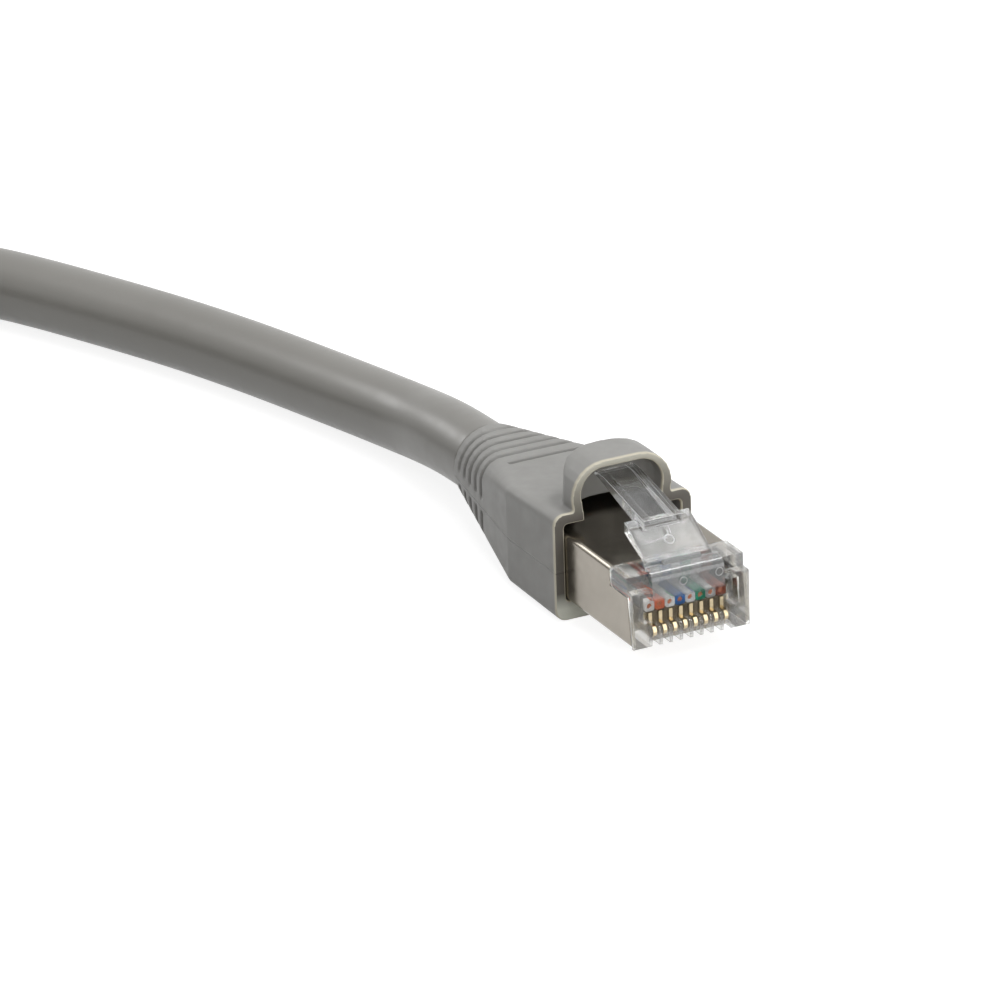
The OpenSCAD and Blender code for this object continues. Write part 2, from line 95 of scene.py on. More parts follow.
# ---------------------------------------------------------------- camera
def place_camera():
    """Stands the camera where the photograph's perspective puts it."""
    azimuth, elevation, roll = (
        math.radians(v) for v in (CAMERA_AZIMUTH, CAMERA_ELEVATION, CAMERA_ROLL))
    place = (Vector(CAMERA_PLACE) + Vector((NOSE_X, 0, LIFT))) * MM
    back = Vector((
        math.cos(azimuth) * math.cos(elevation),
        -math.sin(azimuth) * math.cos(elevation),
        math.sin(elevation),
    ))
    right = (-back).cross(Vector((0, 0, 1))).normalized()
    up = right.cross(-back)
    x_axis = math.cos(roll) * right + math.sin(roll) * up
    y_axis = -math.sin(roll) * right + math.cos(roll) * up
    data = bpy.data.cameras.new("photo_camera")
    data.sensor_width = SENSOR_WIDTH
    data.lens = FOCAL_PIXELS * SENSOR_WIDTH / PICTURE_PIXELS
    data.clip_start = 0.01
    data.clip_end = 20
    camera = bpy.data.objects.new("photo_camera", data)
    scene.collection.objects.link(camera)
    turn = Matrix((x_axis, y_axis, back)).transposed().to_4x4()
    camera.matrix_world = Matrix.Translation(place) @ turn
    scene.camera = camera


place_camera()


# ---------------------------------------------------------------- helpers
def new_object(name, mesh):
    obj = bpy.data.objects.new(name, mesh)
    scene.collection.objects.link(obj)
    return obj


def mesh_object(name, points, faces, smooth=True):
    mesh = bpy.data.meshes.new(name)
    mesh.from_pydata([tuple(p) for p in points], [], faces)
    mesh.validate()
    if smooth:
        mesh.polygons.foreach_set("use_smooth", [True] * len(mesh.polygons))
    mesh.update()
    return new_object(name, mesh)


def apply_modifiers(obj):
    """Makes what the modifiers give the object's own mesh."""
    depsgraph = bpy.context.evaluated_depsgraph_get()
    mesh = bpy.data.meshes.new_from_object(obj.evaluated_get(depsgraph))
    obj.modifiers.clear()
    old = obj.data
    obj.data = mesh
    bpy.data.meshes.remove(old)


def smooth_step(t):
    """Eases from 0 to 1 as t goes from 0 to 1."""
    t = min(max(t, 0.0), 1.0)
    return t * t * (3 - 2 * t)


# ---------------------------------------------------------------- materials
class Nodes:
    """Short calls for building one material's node tree."""

    def __init__(self, name):
        self.material = bpy.data.materials.new(name)
        self.material.use_nodes = True
        self.tree = self.material.node_tree
        self.shader = self.tree.nodes["Principled BSDF"]

    def add(self, kind, **values):
        node = self.tree.nodes.new(kind)
        for key, value in values.items():
            if key in node.inputs:
                node.inputs[key].default_value = value
            else:
                setattr(node, key, value)
        return node

    def link(self, a, b):
        self.tree.links.new(a, b)

    def set(self, **values):
        for key, value in values.items():
            self.shader.inputs[key.replace("_", " ")].default_value = value

    def coords(self):
        return self.add("ShaderNodeTexCoord").outputs["Object"]

    def noise(self, scale, detail=3.0, roughness=0.5):
        node = self.add("ShaderNodeTexNoise", Scale=scale, Detail=detail, Roughness=roughness)
        self.link(self.coords(), node.inputs["Vector"])
        return node.outputs["Fac"]

    def ramp(self, value, stops):
        node = self.add("ShaderNodeValToRGB")
        elements = node.color_ramp.elements
        while len(elements) < len(stops):
            elements.new(0.5)
        for element, (place, colour) in zip(elements, stops):
            element.position = place
            element.color = colour
        self.link(value, node.inputs["Fac"])
        return node.outputs["Color"]

    def range(self, value, low, high, to_low, to_high):
        node = self.add("ShaderNodeMapRange")
        for key, number in zip(("From Min", "From Max", "To Min", "To Max"),
                               (low, high, to_low, to_high)):
            node.inputs[key].default_value = number
        self.link(value, node.inputs["Value"])
        return node.outputs["Result"]

    def fade(self, value, span, origin, before, after):
        """Goes from before to after over a span in millimetres, measured from origin."""
        low, high = ((v + origin) * MM for v in span)
        return self.range(value, low, high, before, after)

    def math(self, operation, a, b=None):
        node = self.add("ShaderNodeMath", operation=operation)
        for socket, value in zip(node.inputs, (a, b)):
            if value is None:
                continue
            if isinstance(value, (int, float)):
                socket.default_value = value
            else:
                self.link(value, socket)
        return node.outputs[0]

    def mix(self, factor, a, b):
        """Colour a where the factor is 0 and colour b where it is 1."""
        node = self.add("ShaderNodeMix", data_type="RGBA")
        colours = [s for s in node.inputs if s.type == "RGBA"]
        self.link(factor, node.inputs["Factor"])
        for socket, value in zip(colours, (a, b)):
            if isinstance(value, tuple):
                socket.default_value = value
            else:
                self.link(value, socket)
        return [s for s in node.outputs if s.type == "RGBA"][0]

    def bump(self, height, strength, distance):
        node = self.add("ShaderNodeBump", Strength=strength, Distance=distance)
        self.link(height, node.inputs["Height"])
        self.link(node.outputs["Normal"], self.shader.inputs["Normal"])
        return node

    def split(self, vector, name):
        node = self.add("ShaderNodeSeparateXYZ")
        self.link(vector, node.inputs[0])
        return node.outputs[name]

    def axis(self, name):
        """Place along an axis of the row frame, in metres."""
        return self.split(self.coords(), name)

    def facing(self, name):
        """How far the surface faces along an axis of the row frame."""
        return self.split(self.add("ShaderNodeTexCoord").outputs["Normal"], name)


def srgb(r, g, b):
    """Linear colour of an 8-bit screen colour."""
    def linear(c):
        c /= 255
        return c / 12.92 if c <= 0.04045 else ((c + 0.055) / 1.055) ** 2.4
    return (linear(r), linear(g), linear(b), 1)


def boot_material():
    """Grey soft plastic with a fine parting line; the rim carries painted light on its edges and
    painted light and shade on its face.
    """
    n = Nodes("boot_plastic")
    n.set(IOR=1.48)
    cloud = n.noise(180, 4, 0.6)
    base = n.ramp(cloud, [(0.3, srgb(146, 145, 142)), (0.7, srgb(152, 151, 148))])
    # The rim's edges are painted paler and yellower: painted light for what shows through the thin
    # plastic and catches its edge
    at_rim = n.fade(n.axis("X"), (-13.2, -12.95), NOSE_X, 0, 1)
    rim_edge_painted_light = n.mix(at_rim, base, srgb(202, 196, 178))
    # The rim's face is painted with shade, darkest towards the opening's sides, and with painted
    # light at its very bottom and its top
    facing = n.range(n.facing("X"), 0.86, 0.97, 0, 1)
    height = n.fade(n.axis("Z"), (-1, 13), LIFT, 0, 1)
    rim_face_painted_light_and_shade = n.ramp(height, [
        (0.02, srgb(206, 207, 195)), (0.13, srgb(80, 76, 70)), (0.62, srgb(88, 84, 78)),
        (0.8, srgb(140, 137, 127)), (0.93, srgb(182, 179, 166))])
    n.link(n.mix(n.math("MULTIPLY", at_rim, facing), rim_edge_painted_light, rim_face_painted_light_and_shade),
           n.shader.inputs["Base Color"])
    # The parting line runs along both sides
    seam_z = (LIFT + 2.85) * MM
    off_seam = n.math("ABSOLUTE", n.math("SUBTRACT", n.axis("Z"), seam_z))
    line = n.bump(n.fade(off_seam, (0.03, 0.12), 0, 1, 0), 0.8, 0.0001)
    grain = n.bump(n.noise(5200, 3, 0.6), 0.22, 0.00003)
    n.link(line.outputs["Normal"], grain.inputs["Normal"])
    n.link(n.range(n.noise(900, 2), 0.3, 0.7, 0.46, 0.6), n.shader.inputs["Roughness"])
    return n.material


def jacket_material():
    n = Nodes("jacket_plastic")
    n.set(IOR=1.55)
    cloud = n.noise(60, 3, 0.5)
    base = n.ramp(cloud, [(0.3, srgb(128, 126, 121)), (0.7, srgb(134, 132, 127))])
    n.link(base, n.shader.inputs["Base Color"])
    n.link(n.range(n.noise(700, 3), 0.3, 0.7, 0.3, 0.38), n.shader.inputs["Roughness"])
    n.bump(n.noise(140, 2, 0.4), 0.18, 0.0004)
    return n.material


def clear_nodes(name, tint, haze, roughness, alpha):
    """Clear polycarbonate; haze is the share of light that it scatters."""
    n = Nodes(name)
    n.set(Roughness=roughness, IOR=1.5, Transmission_Weight=1 - haze, Alpha=alpha,
          Coat_Weight=0.35, Coat_Roughness=0.02)
    n.shader.inputs["Base Color"].default_value = srgb(*tint)
    n.bump(n.noise(420, 2, 0.5), 0.04, 0.0001)
    return n


def clear_material(name, tint, haze, roughness, alpha):
    return clear_nodes(name, tint, haze, roughness, alpha).material


def housing_material():
    """Clear, with painted warm light in the ribs between the contacts, a painted reflection of the
    gold, fog and painted shade in the latch's block, clearer plastic before the wires' ends and
    more solid shoulders."""
    # The ribs' warm colour is painted light, a painted reflection of the gold contacts; the
    # block's grey is painted shade
    clear_tint, block_painted_shade, rib_painted_warm_light = (244, 245, 242), (178, 180, 180), (250, 234, 200)
    haze, alpha = 0.06, 0.5
    rib_fog, block_fog = 0.6, 0.34
    block_alpha, shoulder_alpha, window_alpha = 0.3, 0.34, 0.3
    # Where the forms end, in the plug's frame: along X, up Z, and across from the middle
    rib_front, block_back = (-1.1, -1.0), (-2.6, -2.3)
    channel_floor, channel_roof = (2.8, 2.95), (4.0, 4.4)
    block_side, field_side, shoulder_side = (3.6, 3.7), (4.2, 4.3), (4.3, 4.5)

    n = clear_nodes("clear_housing", clear_tint, haze, 0.07, alpha)
    x, y, z = n.axis("X"), n.axis("Y"), n.axis("Z")
    off_centre = n.math("MINIMUM", n.math("ABSOLUTE", y),
                        n.math("ABSOLUTE", n.math("SUBTRACT", y, FAR_Y * MM)))
    between = n.fade(off_centre, field_side, 0, 1, 0)
    behind = n.fade(x, rib_front, NOSE_X, 1, 0)
    below = n.fade(z, channel_floor, LIFT, 1, 0)
    rib = n.math("MULTIPLY", n.math("MULTIPLY", behind, below), between)
    inside = n.fade(off_centre, block_side, 0, 1, 0)
    ahead = n.fade(x, block_back, NOSE_X, 0, 1)
    above = n.fade(z, channel_roof, LIFT, 0, 1)
    block = n.math("MULTIPLY", n.math("MULTIPLY", inside, ahead), above)
    fog = n.math("MAXIMUM", n.math("MULTIPLY", rib, rib_fog),
                 n.math("MULTIPLY", block, block_fog))
    # The block's darker grey is painted shade on the same clear plastic
    clear = n.mix(block, srgb(*clear_tint), srgb(*block_painted_shade))
    n.link(n.mix(rib, clear, srgb(*rib_painted_warm_light)), n.shader.inputs["Base Color"])
    n.link(n.range(fog, 0, 1, 1 - haze, 0), n.shader.inputs["Transmission Weight"])

    shoulders = n.fade(off_centre, shoulder_side, 0, 0, shoulder_alpha)
    solid = n.math("MAXIMUM", n.math("MULTIPLY", block, block_alpha), shoulders)
    level = n.math("MULTIPLY", n.fade(z, channel_floor, LIFT, 0, 1),
                   n.fade(z, channel_roof, LIFT, window_alpha, 0))
    window = n.math("MULTIPLY", n.math("MULTIPLY", between, ahead), level)
    n.link(n.math("SUBTRACT", n.math("ADD", solid, alpha), window), n.shader.inputs["Alpha"])
    return n.material


def nickel_material():
    n = Nodes("nickel_sheet")
    n.set(Metallic=1.0)
    cloud = n.noise(220, 4, 0.6)
    base = n.ramp(cloud, [(0.3, srgb(140, 134, 124)), (0.7, srgb(149, 143, 133))])
    n.link(base, n.shader.inputs["Base Color"])
    n.link(n.range(n.noise(1500, 3), 0.3, 0.7, 0.19, 0.27), n.shader.inputs["Roughness"])
    n.bump(n.noise(260, 2, 0.4), 0.12, 0.00012)
    return n.material


def metal_material(name, colour, roughness):
    n = Nodes(name)
    n.set(Metallic=1.0, Roughness=roughness)
    low = tuple(c * 0.85 for c in colour[:3]) + (1,)
    n.link(n.ramp(n.noise(2500, 3), [(0.35, low), (0.65, colour)]), n.shader.inputs["Base Color"])
    n.bump(n.noise(3500, 2), 0.15, 0.00003)
    return n.material


def foil_material():
    n = Nodes("foil")
    n.set(Metallic=1.0, Roughness=0.3)
    n.link(n.ramp(n.noise(800, 4), [(0.3, srgb(190, 190, 192)), (0.7, srgb(225, 225, 227))]),
           n.shader.inputs["Base Color"])
    n.bump(n.noise(900, 4, 0.7), 0.6, 0.0002)
    return n.material


def braid_material():
    n = Nodes("tinned_braid")
    n.set(Metallic=1.0, Roughness=0.38)
    wave = n.add("ShaderNodeTexWave", Scale=900.0, Distortion=1.5)
    n.link(n.coords(), wave.inputs["Vector"])
    n.link(n.ramp(wave.outputs["Fac"], [(0.2, srgb(120, 118, 114)), (0.8, srgb(196, 193, 188))]),
           n.shader.inputs["Base Color"])
    n.bump(wave.outputs["Fac"], 0.7, 0.0001)
    return n.material


def wire_material(name, colour):
    n = Nodes(name)
    n.set(Roughness=0.38, IOR=1.5)
    cloud = n.noise(900, 2)
    dark = tuple(c * 0.88 for c in colour[:3]) + (1,)
    n.link(n.ramp(cloud, [(0.3, dark), (0.7, colour)]), n.shader.inputs["Base Color"])
    n.bump(n.noise(1600, 2), 0.1, 0.00004)
    return n.material


def strap_material():
    n = Nodes("strap_fabric")
    n.set(Roughness=0.92, Sheen_Weight=0.35, Sheen_Roughness=0.5)
    loops = n.add("ShaderNodeTexVoronoi", Scale=2600.0)
    n.link(n.coords(), loops.inputs["Vector"])
    n.link(n.ramp(loops.outputs["Distance"], [(0.0, srgb(52, 52, 54)), (0.7, srgb(24, 24, 25))]),
           n.shader.inputs["Base Color"])
    n.bump(loops.outputs["Distance"], 0.8, 0.0002)
    return n.material


MATERIALS = {
    "boot_plastic": boot_material(),
    "jacket_plastic": jacket_material(),
    "clear_plastic": clear_material("clear_latch", (218, 220, 220), 0.0, 0.02, 0.66),
    # A whiter, hazier clear plastic: a painted highlight on rounded edges and ejector rings
    "clear_edge": clear_material("clear_edge", (250, 251, 251), 0.65, 0.12, 0.88),
    "housing_plastic": housing_material(),
    "nickel_shield": nickel_material(),
    "gold_contacts": metal_material("gold_plating", srgb(196, 180, 148), 0.22),
    "copper": metal_material("bare_copper", srgb(196, 132, 104), 0.5),
    "tinned_braid": braid_material(),
    "foil": foil_material(),
    "strap_fabric": strap_material(),
    "insulation_white_orange": wire_material("wire_white_orange", srgb(250, 248, 245)),
    "insulation_orange": wire_material("wire_orange", srgb(240, 128, 88)),
    "insulation_white_green": wire_material("wire_white_green", srgb(250, 251, 248)),
    "insulation_blue": wire_material("wire_blue", srgb(50, 112, 184)),
    "insulation_white_blue": wire_material("wire_white_blue", srgb(248, 250, 252)),
    "insulation_green": wire_material("wire_green", srgb(16, 172, 132)),
    "insulation_white_brown": wire_material("wire_white_brown", srgb(250, 248, 245)),
    "insulation_brown": wire_material("wire_brown", srgb(176, 92, 60)),
}


def dress(obj, slot_name):
    obj.data.materials.clear()
    obj.data.materials.append(MATERIALS[slot_name])


def stand_in(obj, body, slot_name, *replaced):
    """Lets a piece ride its body in the place of the CAD nodes that it replaces."""
    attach(obj, body)
    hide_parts(*replaced)


SLOTS = {part["node"]: part["material_slot"] for part in frame["record"]["subparts"]}
for node_name, node in nodes.items():
    for slot in node.material_slots:
        slot.material = MATERIALS[SLOTS[node_name]]


# ---------------------------------------------------------------- the cord
def curve_point(points, i, t):
    """Point on a smooth curve through the route's points, held above the floor."""
    a = points[max(i - 1, 0)]
    b = points[i]
    c = points[i + 1]
    d = points[min(i + 2, len(points) - 1)]
    value = [
        (2 * b[k] + (c[k] - a[k]) * t + (2 * a[k] - 5 * b[k] + 4 * c[k] - d[k]) * t * t
         + (3 * b[k] - a[k] - 3 * c[k] + d[k]) * t ** 3) / 2
        for k in range(3)
    ]
    value[2] = max(value[2], CABLE_R)
    return Vector(value)


def smooth_route(points, steps):
    line = [curve_point(points, i, k / steps)
            for i in range(len(points) - 1) for k in range(steps)]
    return line + [Vector(points[-1])]


def coil_point(t):
    """The coil after t turns: inward on the floor, then outward one layer up."""
    angle = math.pi + 2 * math.pi * t
    radius = COIL_R - COIL_PITCH * min(t, TURNS - t)
    climb = smooth_step((t - TURNS / 2) * 2 + 0.5)
    rise = STRAP_LIFT * max(math.cos(angle), 0) ** 4
    return Vector((
        COIL_MID[0] + radius * math.cos(angle),
        COIL_MID[1] + radius * math.sin(angle),
        CABLE_R + LAYER * climb + rise,
    ))


RUN_ROUTE = [
    REAR, (-27, -0.7, 4.8), (-36, -1.1, 3.8), (-50, -4.4, 3.45), (-64, -8.8, 3.45),
    (-77, -14.1, 3.45), (-88.5, -19.6, 3.45), (-95.3, -24.7, 3.45), (-100, -30.8, 3.45),
    (-103, -38, 3.45), (-104, -45.6, 3.45), (-104, -60, 3.45),
    (COIL_IN[0], COIL_IN[1] + STUB, CABLE_R),
]
TAIL_ROUTE = [
    (COIL_OUT[0] + STUB, COIL_OUT[1], UPPER),
    (COIL_OUT[0] + 16, COIL_OUT[1], UPPER - 0.9),
    (COIL_OUT[0] + 26, COIL_OUT[1] - 0.1, 7.8),
    (COIL_OUT[0] + 36, COIL_OUT[1] - 0.5, 5.7),
    (REAR[0], REAR[1] + FAR_Y, REAR[2]),
]


def cord_line():
    """The cord's centreline from the near boot to the far boot, in millimetres."""
    rings_per_turn, rings_per_stretch, passes = 60, 8, 3
    coil = [coil_point(k / rings_per_turn) for k in range(int(TURNS * rings_per_turn) + 1)]
    line = (smooth_route(RUN_ROUTE, rings_per_stretch) + coil
            + smooth_route(TAIL_ROUTE, rings_per_stretch))
    for _ in range(passes):
        inner = [(line[i - 1] + line[i + 1]) / 4 + line[i] / 2 for i in range(1, len(line) - 1)]
        line = [line[0], *inner, line[-1]]
    return line


def sweep(name, line, radius, sides):
    """A round closed tube along a line of points that starts along -X and ends along +X."""
    points, faces = [], []
    for i, centre in enumerate(line):
        if i == 0:
            heading = Vector((-1, 0, 0))
        elif i == len(line) - 1:
            heading = Vector((1, 0, 0))
        else:
            heading = (line[i + 1] - line[i - 1]).normalized()
        side = Vector((0, 0, 1)).cross(heading).normalized()
        up = heading.cross(side)
        for s in range(sides):
            angle = 2 * math.pi * s / sides
            points.append((centre + radius * (math.cos(angle) * side + math.sin(angle) * up)) * MM)
    for i in range(len(line) - 1):
        for s in range(sides):
            a, b = i * sides + s, i * sides + (s + 1) % sides
            faces.append((a, b, b + sides, a + sides))
    faces.append(tuple(range(sides - 1, -1, -1)))
    faces.append(tuple((len(line) - 1) * sides + s for s in range(sides)))
    return mesh_object(name, points, faces)


line = cord_line()
cord = sweep("patch_cable_jacket", line, CABLE_R, 32)
dress(cord, "jacket_plastic")
stand_in(cord, "cord_set", "jacket_plastic", "cable_run", "cable_coil", "cable_tail")


# ---------------------------------------------------------------- boots
# The middle of the boot's own frame: how far behind the nose, and how high above the floor
BOOT_MID_X, BOOT_MID_Z = 25, 5


def settle_flats(obj, form):
    """Lays the remeshed skin back on the flats of the form, away from the rounded edges."""
    least_flat, full_hold, no_hold = 8, 0.012, 0.042
    flats = [tuple(p.vertices) for p in form.polygons if p.area > least_flat]
    tree = BVHTree.FromPolygons([v.co for v in form.vertices], flats)
    for vertex in obj.data.vertices:
        spot, _, _, distance = tree.find_nearest(vertex.co)
        ease = smooth_step((distance - full_hold) / (no_hold - full_hold))
        vertex.co = vertex.co.lerp(spot, 1 - ease)


def neck_fill():
    """A plug for the neck's bore, which the jacket hides, in the boot's own frame."""
    back, front, radius = BOOT_END - 0.2, 30.0, CABLE_R + 0.15
    mesh = bpy.data.meshes.new("neck_fill")
    bm = bmesh.new()
    spot = Matrix.Translation((BOOT_MID_X - (back + front) / 2, NECK_Y,
                               AXIS_Z + LIFT - BOOT_MID_Z))
    bmesh.ops.create_cone(bm, cap_ends=True, segments=48, radius1=radius, radius2=radius,
                          depth=back - front, matrix=spot @ Matrix.Rotation(math.pi / 2, 4, "Y"))
    bm.to_mesh(mesh)
    bm.free()
    return new_object("neck_fill", mesh)


def near_boot_moulding():
    """The boot with every edge softly rounded, as a moulding comes out."""
    obj = new_object("near_boot_moulding", nodes["near_boot"].data.copy())
    # Work in millimetres from the boot's own middle, so that the remesh has room
    shift = Matrix.Translation((-(NOSE_X - BOOT_MID_X) * MM, 0, -BOOT_MID_Z * MM))
    obj.data.transform(Matrix.Scale(1 / MM, 4) @ shift)
    fill = neck_fill()
    join = obj.modifiers.new("neck", "BOOLEAN")
    join.operation = "UNION"
    join.solver = "EXACT"
    join.object = fill
    apply_modifiers(obj)
    bpy.data.objects.remove(fill)
    form = obj.data.copy()
    remesh = obj.modifiers.new("form", "REMESH")
    remesh.mode = "VOXEL"
    remesh.voxel_size = 0.13
    soften = obj.modifiers.new("soften", "SMOOTH")
    soften.factor = 0.5
    soften.iterations = 5
    apply_modifiers(obj)
    settle_flats(obj, form)
    obj.data.transform(shift.inverted() @ Matrix.Scale(MM, 4))
    obj.data.polygons.foreach_set("use_smooth", [True] * len(obj.data.polygons))
    return obj


near_boot = near_boot_moulding()
far_boot = new_object("far_boot_moulding", near_boot.data.copy())
far_boot.data.transform(Matrix.Translation((0, FAR_Y * MM, 0)))
for boot, node_name in ((near_boot, "near_boot"), (far_boot, "far_boot")):
    dress(boot, "boot_plastic")
    stand_in(boot, "cord_set", "boot_plastic", node_name)


# ---------------------------------------------------------------- plugs
# The material slot of the painted highlight on rounded edges and ejector rings
PAINTED_HIGHLIGHT_SLOT = 1

# Ejector marks: a place near the surface and its outward direction in the plug's frame,
# the ring's radius and its thickness
FRONT = (1, 0, 0)
PLATE = (0.9, 0, 1.37)
HOUSING_MARKS = [((-0.35, -0.52, 5.4), FRONT, 0.36, 0.022),
                 ((-0.35, 3.06, 5.5), FRONT, 0.36, 0.022)]
LATCH_MARKS = [((-3.8, -0.05, 8.02), PLATE, 0.46, 0.06)]


def add_ring(bm, centre, normal, radius, thick):
    """Adds the faint raised ring that an ejector pin leaves, on the surface nearest centre, in the
    painted highlight material.
    """
    above = (centre + normal + Vector((NOSE_X, 0, LIFT))) * MM
    centre, normal, _, _ = BVHTree.FromBMesh(bm).ray_cast(above, -normal)
    across = Vector((0, 1, 0))
    up = normal.cross(across)
    turns, sides = 28, 6
    grid = []
    for i in range(turns):
        out = math.cos(2 * math.pi * i / turns) * across + math.sin(2 * math.pi * i / turns) * up
        grid.append([
            bm.verts.new(centre + (out * (radius + thick * math.cos(2 * math.pi * k / sides))
                                   + normal * thick * math.sin(2 * math.pi * k / sides)) * MM)
            for k in range(sides)
        ])
    for i in range(turns):
        a, b = grid[i], grid[(i + 1) % turns]
        for k in range(sides):
            m = (k + 1) % sides
            bm.faces.new((a[k], b[k], b[m], a[m])).material_index = PAINTED_HIGHLIGHT_SLOT


def clear_moulding(node_name, piece_name, finish, width, marks):
    """A copy of a CAD node with rounded edges in a paler painted highlight, and its ejector marks.
    """
    sharp, flat = math.radians(28), math.radians(1)
    obj = new_object(piece_name, nodes[node_name].data.copy())
    dress(obj, finish)
    obj.data.materials.append(MATERIALS["clear_edge"])
    bm = bmesh.new()
    bm.from_mesh(obj.data)
    bmesh.ops.remove_doubles(bm, verts=bm.verts, dist=1e-6)
    bmesh.ops.dissolve_limit(bm, angle_limit=flat, verts=bm.verts, edges=bm.edges)
    layer = bm.edges.layers.float.new("bevel_weight_edge")
    for edge in bm.edges:
        if edge.is_manifold and edge.calc_face_angle(0) >= sharp:
            edge[layer] = 1.0
    for centre, normal, radius, thick in marks:
        add_ring(bm, Vector(centre), Vector(normal).normalized(), radius, thick)
    bm.to_mesh(obj.data)
    bm.free()
    bevel = obj.modifiers.new("round", "BEVEL")
    bevel.limit_method = "WEIGHT"
    bevel.width = width * MM
    bevel.segments = 3
    bevel.use_clamp_overlap = True
    # The bevel's faces take the painted highlight
    bevel.material = PAINTED_HIGHLIGHT_SLOT
    apply_modifiers(obj)
    obj.data.polygons.foreach_set("use_smooth", [True] * len(obj.data.polygons))
    normals = obj.modifiers.new("normals", "WEIGHTED_NORMAL")
    normals.keep_sharp = True
    return obj


# The scene's piece for each CAD node that one stands in for
for end in ("near", "far"):
    for part, body, finish, width, marks in (
        ("plug_housing", "cord_set", "housing_plastic", 0.13, HOUSING_MARKS),
        ("latch", end + "_latch", "clear_plastic", 0.06, LATCH_MARKS),
    ):
        node_name = end + "_" + part
        shift = Vector((0, FAR_Y if end == "far" else 0, 0))
        placed = [(Vector(mark[0]) + shift, *mark[1:]) for mark in marks]
        piece = clear_moulding(node_name, node_name + "_moulding", finish, width, placed)
        stand_in(piece, body, "clear_plastic", node_name)


# ---------------------------------------------------------------- wires
def row_y(n):
    """How far wire n and its contact lie off the plug's middle."""
    return (n - (WIRES - 1) / 2) * CONTACT_PITCH


def wire_route(n):
    """A wire's centreline in the plug's frame: one flat row in front, two rows in the neck."""
    y = row_y(n)
    upper = (n < WIRES // 2) == (n % 2 == 0)
    row_z = AXIS_Z + (ROW_STEP if upper else -ROW_STEP)
    lane_y = NECK_Y + (n // 2 - 1.5) * LANE_PITCH
    corners = [(-RECESS, y, WIRE_Z), (FAN_X[0], y, WIRE_Z), (FAN_X[1], y, row_z),
               (FAN_X[2], lane_y, row_z), (-BOOT_END, lane_y, row_z)]
    steps = 10
    line = [Vector(a).lerp(Vector(b), k / steps)
            for a, b in zip(corners, corners[1:]) for k in range(steps)]
    return line + [Vector(corners[-1])]


def wire_mesh(name, n, y_shift):
    """Insulation, squashed square from SQUARE_X on, with the bore that the strands fill."""
    sides, stripe_sides = 20, 5
    bore_r, bore_depth = 0.27, 1.2
    half, taller = WIRE_D / 2, 0.005
    shift = Vector((NOSE_X, y_shift, LIFT))
    line = wire_route(n)
    points, faces, finish = [], [], []

    def ring(centre, half_w, half_h, power):
        for s in range(sides):
            c, d = math.cos(2 * math.pi * s / sides), math.sin(2 * math.pi * s / sides)
            r = (abs(c) ** power + abs(d) ** power) ** (-1 / power)
            points.append((centre + Vector((0, half_w * r * c, half_h * r * d)) + shift) * MM)

    front = line[0]
    ring(front - Vector((bore_depth, 0, 0)), bore_r, bore_r, 2)
    ring(front, bore_r, bore_r, 2)
    for p in line:
        square = smooth_step((p.x - ROUND_X) / (SQUARE_X - ROUND_X))
        ring(p, half, half + taller * (2 * square - 1), 2 + 4 * square)
    rings = len(points) // sides
    for i in range(rings - 1):
        for s in range(sides):
            a, b = i * sides + s, i * sides + (s + 1) % sides
            faces.append((a, a + sides, b + sides, b))
            # Rings 0 and 1 are the bore and the cut face, which have no stripe
            finish.append(int(i > 1 and n % 2 == 0 and (s + i // 2) % sides < stripe_sides))
    faces.append(tuple(range(sides)))
    faces.append(tuple((rings - 1) * sides + s for s in range(sides - 1, -1, -1)))
    finish += [0, 0]
    obj = mesh_object(name, points, faces)
    for polygon in obj.data.polygons[sides:2 * sides]:
        polygon.use_smooth = False
    return obj, finish


def strand_mesh(name, y_shift):
    """Seven bare strands in each wire, cut off a little unevenly."""
    points, faces = [], []
    sides, strand_r = 8, 0.086
    for n in range(WIRES):
        for k in range(7):
            # Six strands stand round a middle one, each wire's turned a little further
            angle = math.pi / 3 * k + n
            reach = 0 if k == 6 else 2.02 * strand_r
            y = row_y(n) + reach * math.cos(angle) + y_shift
            z = WIRE_Z + reach * math.sin(angle) + LIFT
            tip = NOSE_X - RECESS - 0.12 - 0.03 * ((k * 3 + n) % 4)
            first = len(points)
            for x in (tip, NOSE_X - CORE_END):
                for s in range(sides):
                    turn = 2 * math.pi * s / sides
                    points.append(Vector((x, y + strand_r * math.cos(turn),
                                          z + strand_r * math.sin(turn))) * MM)
            for s in range(sides):
                m = (s + 1) % sides
                faces.append((first + s, first + sides + s, first + sides + m, first + m))
            faces.append(tuple(first + s for s in range(sides)))
            faces.append(tuple(first + sides + s for s in range(sides - 1, -1, -1)))
    return mesh_object(name, points, faces, smooth=False)


def lay_wires(end, y_shift):
    """Puts the wires and their strands into one plug."""
    for node_name in [n for n in nodes if n.startswith(end + "_wire_")]:
        n = int(node_name.split("_wire_")[1][0]) - 1
        obj, finish = wire_mesh(node_name + "_insulation", n, y_shift)
        slot_name = SLOTS[node_name]
        dress(obj, slot_name)
        if n % 2 == 0:
            obj.data.materials.append(MATERIALS[slot_name.replace("white_", "")])
            obj.data.polygons.foreach_set("material_index", finish)
        stand_in(obj, "cord_set", slot_name, node_name)
    cores = end + "_copper_cores"
    strands = strand_mesh(end + "_copper_strands", y_shift)
    dress(strands, "copper")
    stand_in(strands, "cord_set", "copper", cores)


lay_wires("near", 0.0)
lay_wires("far", FAR_Y)


